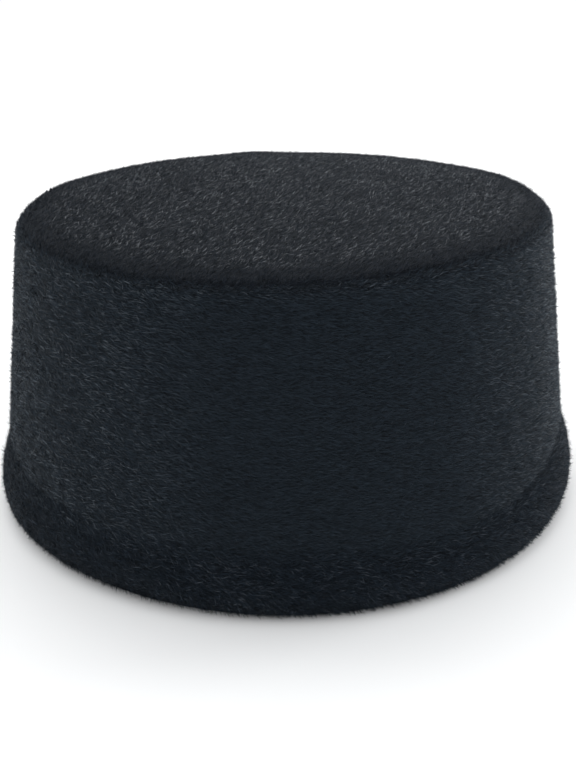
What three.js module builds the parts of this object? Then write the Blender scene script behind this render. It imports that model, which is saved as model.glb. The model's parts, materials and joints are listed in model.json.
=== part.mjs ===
// A soft pillbox cap of short-pile plush: an oval crown, a tapering band and a padded rolled hem.
// Millimetres, +Z up. +X is the wearer's left, -Y is the front, and the hem stands on z = 0.
import * as THREE from 'three';
import { mergeVertices } from 'three/addons/utils/BufferGeometryUtils.js';

// Plan of the cap, side to side; the oval ratio stretches it from front to back
const ovalRatio = 1.06;
const bandFootHalfWidth = 94.6;
const bandTopHalfWidth = 86.8;

// Heights
const crownSeamHeight = 95.5;
const hemHeight = 20;
const hemWidestHeight = 6.5;
const crownDome = 2.5;

// Plush and seams
const plushThickness = 3;
const shoulderInnerRadius = 1.5;
const seamRound = 1.3;
const pieceGap = 0.3;

// Padded roll of the hem: how far it reaches past the band's outer and inner face
const hemFlare = 3.7;
const hemInnerReach = 1.5;
const hemSeatWidth = 3;
const hemInnerRound = 1;

// Sizes that follow from the ones above
const shoulderRadius = shoulderInnerRadius + plushThickness;
const hemHalfWidth = bandFootHalfWidth + hemFlare;
const hemThickness = hemFlare + plushThickness + hemInnerReach;

// How finely the rings are cut
const ringSteps = 72;
const bandWallSteps = 4;
const crownTopSteps = 6;

// The hand-shaped unevenness of the cloth, each a share of the size in its column's name.
// footOfHem and top push outwards, hemLine and seamLine lift; 0 degrees is +X and 270 the front.
const unevenness = [
  { azimuthDeg: 0, footOfHem: -0.094, top: 0.136, hemLine: 0.170, seamLine: -0.051 },
  { azimuthDeg: 45, footOfHem: 0.120, top: -0.093, hemLine: -0.042, seamLine: -0.096 },
  { azimuthDeg: 90, footOfHem: 0.000, top: -0.022, hemLine: 0.024, seamLine: -0.069 },
  { azimuthDeg: 135, footOfHem: -0.127, top: 0.076, hemLine: -0.021, seamLine: 0.107 },
  { azimuthDeg: 180, footOfHem: 0.094, top: 0.007, hemLine: 0.059, seamLine: 0.020 },
  { azimuthDeg: 225, footOfHem: -0.035, top: -0.036, hemLine: -0.044, seamLine: -0.011 },
  { azimuthDeg: 270, footOfHem: 0.124, top: -0.016, hemLine: -0.017, seamLine: 0.000 },
  { azimuthDeg: 315, footOfHem: -0.083, top: -0.047, hemLine: -0.130, seamLine: 0.102 },
];

const quarterTurn = Math.PI / 2;
const eighthTurn = Math.PI / 4;

// Smooth value of one column of the table, all the way round.
function around(column, azimuth) {
  const count = unevenness.length;
  let value = 0;
  unevenness.forEach((row) => {
    const apart = azimuth - THREE.MathUtils.degToRad(row.azimuthDeg);
    let weight = 1;
    for (let wave = 1; wave < count / 2; wave += 1) {
      weight += 2 * Math.cos(wave * apart);
    }
    weight += Math.cos((count / 2) * apart);
    value += (row[column] * weight) / count;
  });
  return value;
}

// The lengths that the unevenness gives at one azimuth.
function shapeAt(azimuth) {
  return {
    hemPush: hemThickness * around('footOfHem', azimuth),
    topPush: shoulderRadius * around('top', azimuth),
    hemTop: hemHeight * (1 + around('hemLine', azimuth)),
    seamTop: crownSeamHeight + shoulderRadius * around('seamLine', azimuth),
  };
}

// One point of a section: a half-width, a height and how far the cloth is pushed outwards there.
function station(halfWidth, height, push) {
  return { halfWidth, height, push };
}

// Half-width of the band's outer face at a height share between the hem line (0) and the shoulder (1).
function bandHalfWidth(share) {
  return THREE.MathUtils.lerp(bandFootHalfWidth, bandTopHalfWidth, share);
}

// A point on the shoulder that joins band and crown: turn 0 faces sideways, a quarter turn faces up.
function shoulderPoint(shape, radius, turn) {
  return station(
    bandTopHalfWidth - shoulderRadius + radius * Math.cos(turn),
    shape.seamTop - shoulderRadius + radius * Math.sin(turn),
    shape.topPush,
  );
}

// The cut face of the top seam, on one side of it: outer edge rounded off, inner edge plain.
function seamFace(shape, side) {
  const tangent = { x: -Math.sin(eighthTurn), z: Math.cos(eighthTurn) };
  const offset = (side * pieceGap) / 2;
  const points = [];
  [shoulderRadius - seamRound, shoulderInnerRadius].forEach((radius) => {
    const point = shoulderPoint(shape, radius, eighthTurn);
    points.push(station(point.halfWidth + offset * tangent.x, point.height + offset * tangent.z, point.push));
  });
  return points;
}

// Section of the band, outer face upwards, then the seam face, then the inner face downwards.
function bandSection(azimuth) {
  const shape = shapeAt(azimuth);
  const foot = shape.hemTop + pieceGap;
  const shoulderFoot = shape.seamTop - shoulderRadius;
  const outer = [];
  const inner = [];
  for (let step = 0; step <= bandWallSteps; step += 1) {
    const share = step / bandWallSteps;
    const height = THREE.MathUtils.lerp(foot, shoulderFoot, share);
    const push = THREE.MathUtils.lerp(shape.hemPush, shape.topPush, share);
    outer.push(station(bandHalfWidth(share), height, push));
    inner.push(station(bandHalfWidth(share) - plushThickness, height, push));
  }
  const roundTurn = seamRound / shoulderRadius;
  outer.push(shoulderPoint(shape, shoulderRadius, eighthTurn / 2));
  outer.push(shoulderPoint(shape, shoulderRadius, eighthTurn - roundTurn));
  return [...outer, ...seamFace(shape, -1), ...inner.reverse()];
}

// Section of the hem: flat seat, outer bulge, top face under the band, inner face.
function hemSection(azimuth) {
  const shape = shapeAt(azimuth);
  const innerHalfWidth = hemHalfWidth - hemThickness;
  const seatInner = innerHalfWidth + hemInnerRound;
  const seatOuter = seatInner + hemSeatWidth;
  const points = [station(seatInner, 0, shape.hemPush), station(seatOuter, 0, shape.hemPush)];
  [1 / 3, 2 / 3, 1].forEach((share) => {
    const turn = share * quarterTurn;
    points.push(station(
      seatOuter + (hemHalfWidth - seatOuter) * Math.sin(turn),
      hemWidestHeight * (1 - Math.cos(turn)),
      shape.hemPush,
    ));
  });
  [0.3, 0.55, 0.78, 1].forEach((share) => {
    points.push(station(
      THREE.MathUtils.lerp(hemHalfWidth, bandFootHalfWidth, share * share),
      THREE.MathUtils.lerp(hemWidestHeight, shape.hemTop, share),
      shape.hemPush,
    ));
  });
  points.push(station(bandFootHalfWidth - plushThickness, shape.hemTop, shape.hemPush));
  points.push(station(innerHalfWidth, shape.hemTop - 2 * hemInnerRound, shape.hemPush));
  points.push(station(innerHalfWidth, hemInnerRound, shape.hemPush));
  return points;
}

// Section of the crown from the underside of its middle out to the seam and back over the top.
function crownSection(azimuth) {
  const shape = shapeAt(azimuth);
  const reach = bandTopHalfWidth - shoulderRadius;
  const roundTurn = seamRound / shoulderRadius;
  const top = [];
  const under = [];
  for (let step = 1; step <= crownTopSteps; step += 1) {
    const share = step / crownTopSteps;
    const rise = crownDome * (1 - share * share) + (shape.seamTop - crownSeamHeight) * share * share;
    const height = crownSeamHeight + rise;
    top.push(station(reach * share, height, shape.topPush * share));
    if (step % 2 === 0) {
      under.push(station(reach * share, height - plushThickness, shape.topPush * share));
    }
  }
  top.push(shoulderPoint(shape, shoulderRadius, eighthTurn * 1.5));
  top.push(shoulderPoint(shape, shoulderRadius, eighthTurn + roundTurn));
  return [...under, ...seamFace(shape, 1).reverse(), ...top.reverse()];
}

// Turns a section into a vertex on the oval plan.
function placeStation(point, azimuth) {
  return new THREE.Vector3(
    (point.halfWidth + point.push) * Math.cos(azimuth),
    (point.halfWidth * ovalRatio + point.push) * Math.sin(azimuth),
    point.height,
  );
}

// Sweeps a section round the plan. A ring's section closes on itself; a disc's starts and ends on the axis.
function sweep(section, poles) {
  const rings = [];
  for (let step = 0; step < ringSteps; step += 1) {
    const azimuth = (step / ringSteps) * Math.PI * 2;
    rings.push(section(azimuth).map((point) => placeStation(point, azimuth)));
  }
  const length = rings[0].length;
  const corners = [];
  const triangle = (a, b, c) => corners.push(a, b, c);
  const links = poles ? length - 1 : length;
  for (let step = 0; step < ringSteps; step += 1) {
    const here = rings[step];
    const next = rings[(step + 1) % ringSteps];
    for (let link = 0; link < links; link += 1) {
      const after = (link + 1) % length;
      triangle(here[link], next[link], here[after]);
      triangle(next[link], next[after], here[after]);
    }
    if (poles) {
      triangle(poles.first, next[0], here[0]);
      triangle(poles.last, here[length - 1], next[length - 1]);
    }
  }
  const geometry = new THREE.BufferGeometry().setFromPoints(corners);
  const merged = mergeVertices(geometry, 1e-5);
  merged.computeVertexNormals();
  return merged;
}

// Plush colours, darker where the pile is deeper in shade.
const plush = new THREE.MeshStandardMaterial({ color: 0x20262c, roughness: 0.95, metalness: 0 });
const crownPlush = new THREE.MeshStandardMaterial({ color: 0x2b3036, roughness: 0.95, metalness: 0 });
const hemPlush = new THREE.MeshStandardMaterial({ color: 0x191e23, roughness: 0.97, metalness: 0 });

function piece(name, geometry, material) {
  const mesh = new THREE.Mesh(geometry, material);
  mesh.name = name;
  return mesh;
}

const crownPoles = {
  first: new THREE.Vector3(0, 0, crownSeamHeight + crownDome - plushThickness),
  last: new THREE.Vector3(0, 0, crownSeamHeight + crownDome),
};

const cap = new THREE.Group();
cap.add(piece('crown_top', sweep(crownSection, crownPoles), crownPlush));
cap.add(piece('side_band', sweep(bandSection), plush));
cap.add(piece('rolled_hem', sweep(hemSection), hemPlush));

// The origin is the middle of the cap's own box, on the surface that it stands on.
const box = new THREE.Box3().setFromObject(cap);
const middle = box.getCenter(new THREE.Vector3());
cap.position.set(-middle.x, -middle.y, -box.min.z);

export default cap;
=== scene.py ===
"""A soft pillbox prayer cap of black short-pile plush, laid out as a Blender add-on and run as a script.

Metres, +Z up. +X is the wearer's left, -Y is the front, and the hem stands on z = 0.
"""
import json
import math

import bpy
import numpy as np
from bpy.props import FloatProperty, FloatVectorProperty, IntProperty, PointerProperty
from bpy.types import Operator, Panel, PropertyGroup
from mathutils import Matrix, Vector

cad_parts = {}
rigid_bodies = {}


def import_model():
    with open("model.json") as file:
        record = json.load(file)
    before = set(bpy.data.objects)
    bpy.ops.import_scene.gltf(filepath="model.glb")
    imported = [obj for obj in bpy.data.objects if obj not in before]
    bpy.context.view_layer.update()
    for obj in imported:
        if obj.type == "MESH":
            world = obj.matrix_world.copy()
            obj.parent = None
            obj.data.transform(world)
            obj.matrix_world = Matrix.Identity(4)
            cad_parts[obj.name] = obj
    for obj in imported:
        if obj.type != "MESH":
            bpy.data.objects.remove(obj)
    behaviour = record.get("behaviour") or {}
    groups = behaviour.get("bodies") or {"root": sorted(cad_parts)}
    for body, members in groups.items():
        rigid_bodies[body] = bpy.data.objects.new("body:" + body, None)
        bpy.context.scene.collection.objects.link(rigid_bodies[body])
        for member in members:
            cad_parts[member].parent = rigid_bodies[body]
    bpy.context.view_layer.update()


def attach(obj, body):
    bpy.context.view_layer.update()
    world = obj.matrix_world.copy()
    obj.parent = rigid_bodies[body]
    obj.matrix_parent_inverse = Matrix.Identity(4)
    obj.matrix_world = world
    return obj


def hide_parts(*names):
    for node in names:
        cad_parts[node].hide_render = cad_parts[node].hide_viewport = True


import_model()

bl_info = {
    "name": "Plush prayer cap",
    "version": (1, 0, 0),
    "blender": (4, 5, 0),
    "location": "3D View > Sidebar > Cap",
    "description": "Builds a pillbox cap of short-pile plush with a padded rolled hem",
    "category": "Object",
}

BODY = "root"

# The hand-shaped unevenness of the cloth, each a share of the size that it moves.
UNEVENNESS_COLUMNS = ("azimuth_deg", "hem_foot", "top", "hem_line", "seam_line")
UNEVENNESS = (
    (0, -0.094, 0.136, 0.170, -0.051),
    (45, 0.120, -0.093, -0.042, -0.096),
    (90, 0.000, -0.022, 0.024, -0.069),
    (135, -0.127, 0.076, -0.021, 0.107),
    (180, 0.094, 0.007, 0.059, 0.020),
    (225, -0.035, -0.036, -0.044, -0.011),
    (270, 0.124, -0.016, -0.017, 0.000),
    (315, -0.083, -0.047, -0.130, 0.102),
)

# Where the crown's edge is fuller than the oval: azimuth and reach in degrees, outwards and up in metres.
FULL_CORNERS = (
    (22, 13, 0.0012, 0.0004),
    (161, 13, 0.0012, 0.0004),
    (98, 7, 0.0, 0.0006),
)

# Directions round the cap
QUARTER = math.pi / 2
FRONT_AZIMUTH = 3 * QUARTER
BACK_SEAM_AZIMUTH = QUARTER

# Steps round the cap, the turns from the back seam that are added to them, and the steps of the solids
RING_STEPS = 240
BACK_SEAM_STEPS = (-0.105, -0.095, -0.012, -0.006, 0.006, 0.012, 0.095, 0.105)
SOLID_RING_STEPS = 72

# Rings up each face, as portions of the way along it, and how many there are round each turn
CROWN_PORTIONS = (0.988, 0.975, 0.96, 0.94, 0.92, 0.90, *np.linspace(0.87, 0.04, 23))
CROWN_UNDER_PORTIONS = np.linspace(0.05, 1.0, 14)
CROWN_SHOULDER_RINGS = 8
BAND_PORTIONS = (0.0, 0.015, 0.03, 0.05, *np.linspace(0.08, 0.92, 20), 0.95, 0.97, 0.985, 1.0)
BAND_INNER_PORTIONS = np.linspace(0.8, 0.0, 12)
BAND_SHOULDER_RINGS = 5
HEM_BULGE_PORTIONS = np.linspace(0.12, 1.0, 14)
HEM_INNER_PORTIONS = np.linspace(0.8, 0.1, 6)
HEM_UNDER_RINGS = 9

# The hem's inner edges: drop in inner rounds and share of the inner reach at the top, share of a round below
HEM_TOP_TURN = ((0.35, 0.6), (1.0, 0.15), (2.0, 0.0))
HEM_FOOT_TURN = 0.3

# How soon the hem's underside leaves the seat, and where it curves up most and how far round
HEM_SEAT_TURN = 0.15
SEAT_RISE_MOST = math.radians(240)
SEAT_RISE_REACH = math.radians(26)

# How much more the crown droops in the front, and the share of the hem's dip that the front and back keep
FRONT_DROOP = 0.6
HEM_DIP_FRONT = 0.3

# The back seam: how deep it is drawn in, and how wide the draw and the pressed seam are in radians
BACK_SEAM_DIP = 0.0007
BACK_SEAM_WIDTH = 0.008
PRESSED_OPEN_REACH = 0.1

# The turned-in edge of the band: how far down it has a ring, and how soon it ends
ALLOWANCE_MIDDLE = 0.004
ALLOWANCE_END = 0.0005

# Density of each pile at its seam, and how long its locks are beside it
SEAM_COVER = 0.85
HEM_SEAM_COVER = 0.3
CROWN_OVERLAP_LENGTH = 0.8
BAND_EDGE_LENGTH = 0.9
HEM_UNDER_LENGTH = 0.75

# How dark the painted shade makes the piles at the top seam, and how far down the band that painted shade
# reaches
SEAM_SHADE = 0.18
RIM_SHADE = 0.15
RIM_WIDTH = 0.0010

# How ruffled the piles are along the seams, and how far from them
EDGE_WIDTH = 0.006
SEAM_RUFFLE = 1.0
SEAM_RUFFLE_WIDTH = 0.002
OVERLAP_RUFFLE = 0.3
RUFFLED_SHARE = 0.72

# Where the band has the least painted sheen, and how much painted light it gets just under the top seam,
# where its shoulder catches the light from above
LEAST_PAINTED_SHEEN_TURN = math.radians(8)
PAINTED_LIGHT_UNDER_SEAM = 0.7
PAINTED_LIGHT_UNDER_SEAM_WIDTH = 0.0045

# One lock of pile, as long and wide as 1: how far its tip leans aside and rises off the cloth.
LOCK_TIPS = ((-0.9, 0.15), (0.0, 0.22), (0.8, 0.12), (0.3, 0.28))
LOCK_ROOT_SINK = -0.05

# How the locks vary with their clump and by themselves, as factors or as the least and the most
CLUMP_DETAIL = 1.5
CLUMP_TURN = 4.0
CLUMP_LIFT = 2.4
OWN_TURN = 1.3
OWN_LIFT = (-0.7, 0.9)
OWN_LENGTH = (0.65, 1.25)
OWN_WIDTH = (0.6, 1.3)

# How much more a loose lock lifts, and a light one (a painted glint) or a ruffled one widens
LOOSE_LIFT = 0.45
FRINGE_LIFT = 0.45
LIGHT_WIDTH = 0.5
RUFFLED_WIDTH = 0.4

# Size of the patches of colour, and the part of the map that the locks' tones and lengths take up
PATCH_SIZE = 0.012
TONE_SPAN = 0.94
TONE_MARGIN = 0.03
ALONG_SPAN = 0.98

# What each random draw adds to the seed of its pile, and the first seed of each pile
SEED_STEPS = {
    "turn": 11,
    "lift": 12,
    "roll": 13,
    "length": 14,
    "width": 15,
    "shape": 16,
    "tone": 17,
    "turned about": 18,
    "loose": 19,
}
CROWN_SEED = 101
BAND_SEED = 201
HEM_SEED = 301

# The least move that counts as one when the hem is filled, in metres
SMALLEST_MOVE = 1e-9

# What a grown pile has to keep to: its height over the floor, and the share of the locks that have grown
FLOOR_CLEARANCE = 0.0001
GROWN_SHARE = 0.9

# Where along a lock its root colour ends and its tip colour starts, and the tone of the lightest locks, which
# take the full painted glint colour
ROOT_END = 0.05
TIP_START = 0.8
LIGHTEST_TONE = 0.97

# Roughness of the darkest and the lightest locks, of the sheen and of the cloth
LOCK_ROUGHNESS = (0.62, 0.42)
SHEEN_ROUGHNESS = 0.45
BED_ROUGHNESS = 0.9
BACKING_ROUGHNESS = 0.88
COOL_GLOSS = (0.82, 0.91, 1.0, 1.0)
COOL_SHEEN = (0.74, 0.87, 1.0, 1.0)

# The cloth under the pile: its share of the pile's colours, sheen and gloss, and its grain
BED_ROOT_SHARE = 0.6
BED_TIP_SHARE = 0.8
BED_SHEEN_SHARE = 0.5
BED_GLOSS = 0.1
BROAD_GRAIN = 60.0
BED_GRAIN_STRENGTH = 0.6
BED_GRAIN_DEPTH = 0.0004

# The woven back of the plush: threads to the metre across and along, its colours and its relief
CLOTH_MAP = "Cloth"
THREAD_STRETCH = (1600.0, 130.0)
THREAD_RANGE = (0.42, 0.72)
BACKING_DARK = (0.0045, 0.0055, 0.007)
BACKING_LIGHT = (0.016, 0.018, 0.021)
BACKING_GLOSS = 0.2
BACKING_SHEEN = 0.05
THREAD_STRENGTH = 0.5
THREAD_DEPTH = 0.0003

# The photograph's size, and the sensor, the near and the far end of the camera's view
PHOTO_WIDTH_PX = 576
PHOTO_HEIGHT_PX = 768
SENSOR_MM = 36.0
VIEW_START = 0.01
VIEW_END = 50.0

# Soft lamps: name, place in metres, width and height in metres, power in watts, colour
LAMPS = (
    ("Top lamp", (0.0, 0.9, 1.3), 1.5, 1.2, 11.3, (1.0, 1.0, 1.0)),
    ("Left lamp", (-1.3, 0.75, 0.75), 0.5, 1.1, 1.7, (0.95, 0.98, 1.0)),
    ("Right lamp", (1.3, 0.65, 0.75), 0.5, 1.1, 4.3, (0.95, 0.98, 1.0)),
)
WORLD_COLOUR = (0.98, 0.99, 1.0, 1.0)
WORLD_STRENGTH = 1.03
FLOOR_REACH = 8.0
FLOOR_ROUGHNESS = 0.9


def metres(name, description, default):
    """A length that a user can change."""
    limits = {"min": 0.0, "precision": 5, "unit": "LENGTH"}
    return FloatProperty(name=name, description=description, default=default, **limits)


def angle(name, description, degrees):
    """An angle that a user can change, with its default in degrees."""
    return FloatProperty(name=name, description=description, default=math.radians(degrees), subtype="ANGLE")


def share(name, description, default):
    """A plain ratio that a user can change."""
    return FloatProperty(name=name, description=description, default=default, min=0.0)


def colour(name, description, default):
    """A linear colour that a user can change."""
    limits = {"size": 3, "min": 0.0, "max": 1.0, "subtype": "COLOR"}
    return FloatVectorProperty(name=name, description=description, default=default, **limits)


def whole(name, description, default, least=0):
    """A whole number that a user can change."""
    return IntProperty(name=name, description=description, default=default, min=least)


class CapShape(PropertyGroup):
    """Sizes of the cap's form."""

    oval_ratio: share("Oval ratio", "Front-to-back size over side-to-side size", 1.06)
    band_foot: metres("Band foot", "Half-width of the band's outer face at the hem", 0.0946)
    band_top: metres("Band top", "Half-width of the band's outer face at the top", 0.0868)
    seam_height: metres("Crown height", "Height of the crown's edge above the surface", 0.0955)
    hem_height: metres("Hem height", "Height of the rolled hem", 0.020)
    hem_widest: metres("Hem widest", "Height at which the hem is widest", 0.0065)
    crown_dome: metres("Crown dome", "Rise of the crown's middle over its edge", 0.0025)
    plush_thickness: metres("Plush thickness", "Cloth and pile together", 0.003)
    shoulder_inner_radius: metres("Inner shoulder", "Radius inside the turn from band to crown", 0.0015)
    hem_flare: metres("Hem flare", "How far the hem reaches past the band outside", 0.0037)
    hem_inner_reach: metres("Hem inner reach", "How far the hem reaches past the band inside", 0.0015)
    hem_seat_width: metres("Hem seat", "Width of the hem's flat seat", 0.0020)
    hem_inner_round: metres("Hem inner round", "Rounding at the hem's inner edge", 0.001)
    piece_gap: metres("Seam gap", "Gap between two sewn pieces", 0.0003)
    pile_depth: metres("Pile depth", "How far the cloth lies under the tips of the pile", 0.0007)
    crown_pile_depth: metres("Crown pile depth", "The same on the crown", 0.0003)
    seam_turn: angle("Seam turn", "Where the top seam lies on the shoulder, up from level", 35)
    seam_dip: metres("Seam dip", "How deep the top seam pulls the cloth in", 0.00012)
    seam_dip_width: metres("Seam dip width", "How far from the seam that pull is felt", 0.0015)
    crown_droop: metres("Crown droop", "How much the crown sinks towards its seam", 0.0009)
    crown_droop_width: metres("Crown droop width", "How far in from the seam the crown sinks", 0.0085)
    band_droop: share("Band droop", "Share of that by which the band sinks too in the front", 0.7)
    band_droop_width: metres("Band droop width", "How far down from the seam the band sinks", 0.0023)
    hem_dip: metres("Hem dip", "How deep the hem's seam pulls the cloth in", 0.0013)
    hem_dip_width: metres("Hem dip width", "How far from the hem's seam that pull is felt", 0.0019)
    seat_rise: metres("Seat rise", "How much higher the cloth starts by the seat, front right", 0.0010)
    hem_overlap: metres("Hem overlap", "How far the band's pile lies over the hem", 0.0036)
    seam_overlap: metres("Seam overlap", "How far each of the two piles runs past the top seam", 0.0030)
    front_mingle: angle("Front mingle", "How far round from the front the two naps mingle", 30)
    seam_allowance: metres("Seam allowance", "Width of the turned-in edges inside", 0.008)
    allowance_thickness: metres("Allowance thickness", "How much the turned-in edges add inside", 0.0008)


class CrownPile(PropertyGroup):
    """Pile of the crown, brushed one way."""

    fibre_length: metres("Fibre length", "Length of one lock of pile", 0.0021)
    fibre_width: metres("Fibre width", "Width of one lock of pile", 0.00014)
    fibres: whole("Fibres", "How many locks of pile", 310000)
    nap: angle("Nap direction", "Azimuth that the pile's tips point to", 38)
    lift: angle("Lift", "How far the pile stands off the cloth", 0)
    lift_spread: angle("Lift spread", "How much the lift varies", 11)
    stray: angle("Stray", "How far a lock turns from the nap", 31)
    roll: angle("Roll", "How far a lock is turned about its own length", 55)
    clump_size: metres("Clump size", "Size of the tufts that lean together", 0.0014)
    patchiness: share("Patchiness", "How much the colour varies in patches", 0.04)
    tone_spread: share("Tone spread", "How much the colour varies from lock to lock", 1.0)
    # Light locks and their colour: painted glints of lit fibres, brightest on the crown, which faces the
    # light.
    painted_glint_locks: share("Light locks", "Share of the locks that are much lighter", 0.058)
    light: colour("Light colour", "Colour of those locks", (0.400, 0.418, 0.442))
    loose: share("Loose locks", "Share of the locks that stand up", 0.05)
    fringe: share("Fringe", "How many more locks stand up at the edge", 1.2)
    ruffle: share("Ruffle", "How much more the pile strays at the edge", 0.5)
    side_ruffle: share("Side ruffle", "How much more the pile strays on the right", 0.5)
    sheen: share("Sheen", "Strength of the soft sheen", 0.080)
    gloss: share("Gloss", "Specular level of a lock", 0.09)
    root: colour("Root colour", "Colour at the foot of the pile", (0.0010, 0.0016, 0.0025))
    tip: colour("Tip colour", "Colour at the tips of the pile", (0.0093, 0.0126, 0.0190))


class BandPile(PropertyGroup):
    """Pile of the side band, lying round the cap."""

    fibre_length: metres("Fibre length", "Length of one lock of pile", 0.0027)
    fibre_width: metres("Fibre width", "Width of one lock of pile", 0.00020)
    fibres_front: whole("Front fibres", "How many locks of pile in the front", 195000)
    fibres_back: whole("Back fibres", "How many locks of pile in the back", 150000)
    nap: angle("Nap fall", "How far the pile's tips point down from level", 5)
    nap_sway: angle("Nap sway", "How much more they point down on the right", 20)
    lift: angle("Lift", "How far the pile stands off the cloth", 1)
    lift_spread: angle("Lift spread", "How much the lift varies", 8)
    stray: angle("Stray", "How far a lock turns from the nap", 16)
    ruffle: share("Ruffle", "How much more the pile strays at the sides", 0.9)
    roll: angle("Roll", "How far a lock is turned about its own length", 45)
    clump_size: metres("Clump size", "Size of the tufts that lean together", 0.005)
    patchiness: share("Patchiness", "How much the colour varies in patches", 0.07)
    side_thinning: share("Side thinning", "How many fewer and wider locks there are at the sides", 0.5)
    # Painted sheen: the front and back are kept plainer, so the light locks stand mostly on the sides, where
    # the sheen is.
    front_less_painted_sheen: share("Front calm", "How much plainer the colour is in the front than at the sides", 0.11)
    tone_spread: share("Tone spread", "How much the colour varies from lock to lock", 0.9)
    # Light locks and their colour: painted glints, dimmer than the crown's.
    painted_glint_locks: share("Light locks", "Share of the locks that are much lighter", 0.08)
    light: colour("Light colour", "Colour of those locks", (0.150, 0.168, 0.188))
    loose: share("Loose locks", "Share of the locks that stand up", 0.04)
    sheen: share("Sheen", "Strength of the soft sheen", 0.078)
    gloss: share("Gloss", "Specular level of a lock", 0.15)
    root: colour("Root colour", "Colour at the foot of the pile", (0.0023, 0.0036, 0.0054))
    tip: colour("Tip colour", "Colour at the tips of the pile", (0.0135, 0.0206, 0.0290))


class HemPile(PropertyGroup):
    """Longer pile of the rolled hem."""

    fibre_length: metres("Fibre length", "Length of one lock of pile", 0.0028)
    fibre_width: metres("Fibre width", "Width of one lock of pile", 0.00024)
    fibres: whole("Fibres", "How many locks of pile", 190000)
    nap: angle("Nap fall", "How far the pile's tips point down from level", 14)
    nap_sway: angle("Nap sway", "How much more they point down on the right", 26)
    lift: angle("Lift", "How far the pile stands off the cloth", 2)
    lift_spread: angle("Lift spread", "How much the lift varies", 9)
    stray: angle("Stray", "How far a lock turns from the nap", 26)
    ruffle: share("Ruffle", "How much more the pile strays down at the seat", 0.6)
    side_thinning: share("Side thinning", "How many fewer and wider locks there are at the sides", 0.35)
    side_ruffle: share("Side ruffle", "How much more the pile strays at the sides", 0.5)
    # Painted shade at the hem's sides: they are kept darker, with fewer light locks.
    side_painted_shade: share("Side calm", "How much plainer the colour is at the sides", 0.04)
    roll: angle("Roll", "How far a lock is turned about its own length", 45)
    clump_size: metres("Clump size", "Size of the tufts that lean together", 0.0045)
    patchiness: share("Patchiness", "How much the colour varies in patches", 0.05)
    tone_spread: share("Tone spread", "How much the colour varies from lock to lock", 1.0)
    # Light locks and their colour: painted glints, dimmest on the hem, which faces down.
    painted_glint_locks: share("Light locks", "Share of the locks that are much lighter", 0.07)
    light: colour("Light colour", "Colour of those locks", (0.078, 0.089, 0.105))
    loose: share("Loose locks", "Share of the locks that stand up", 0.07)
    fringe: share("Fringe", "How many more locks stand up down at the seat", 1.8)
    fringe_turn: share("Fringe turn", "Share by which the pile turns down beside the seat", 0.35)
    sheen: share("Sheen", "Strength of the soft sheen", 0.015)
    gloss: share("Gloss", "Specular level of a lock", 0.13)
    # Root and tip colours darker than the band's: partly the hem's longer pile, partly painted shade for the
    # little light that reaches the hem from below.
    root: colour("Root colour", "Colour at the foot of the pile", (0.0025, 0.004, 0.006))
    tip: colour("Tip colour", "Colour at the tips of the pile", (0.0085, 0.0135, 0.0204))


class HemFill(PropertyGroup):
    """How the hem is stuffed."""

    room: metres("Room", "How much slimmer the hem starts out than it ends", 0.0004)
    pressure: share("Pressure", "Pressure of the filling", 150.0)
    stiffness: share("Stiffness", "How hard the cloth is to stretch", 3.0)
    travel: metres("Travel", "The furthest that the filling may push the cloth", 0.0012)
    frames: whole("Frames", "How many frames the filling is simulated for", 20, least=2)
    fill: share("Fill", "How tight the hem is stuffed, from 0 to 1", 0.7)


class StageLook(PropertyGroup):
    """Camera, floor and light."""

    aim_height: metres("Aim height", "Height that the camera looks at", 0.0425)
    camera_distance: metres("Camera distance", "Distance from the aim to the camera", 0.425)
    camera_elevation: angle("Camera elevation", "How far the camera looks down", 19.892)
    camera_roll: angle("Camera roll", "How far the view is turned", -1.48)
    focal_px: share("Focal length", "Focal length in pixels of the photograph", 1232.77)
    centre_x_px: share("Centre across", "Pixel column of the aim", 285.894)
    centre_y_px: share("Centre down", "Pixel row of the aim", 351.447)
    floor: colour("Floor", "Colour of the floor", (0.975, 0.975, 0.975))


def around(column, azimuths):
    """Smooth values of one column of the unevenness table, all the way round."""
    place = UNEVENNESS_COLUMNS.index(column)
    count = len(UNEVENNESS)
    values = np.zeros_like(azimuths)
    for row in UNEVENNESS:
        apart = azimuths - math.radians(row[0])
        weight = 1.0 + np.cos(apart * count / 2)
        for wave in range(1, count // 2):
            weight = weight + 2 * np.cos(wave * apart)
        values += row[place] * weight / count
    return values


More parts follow.
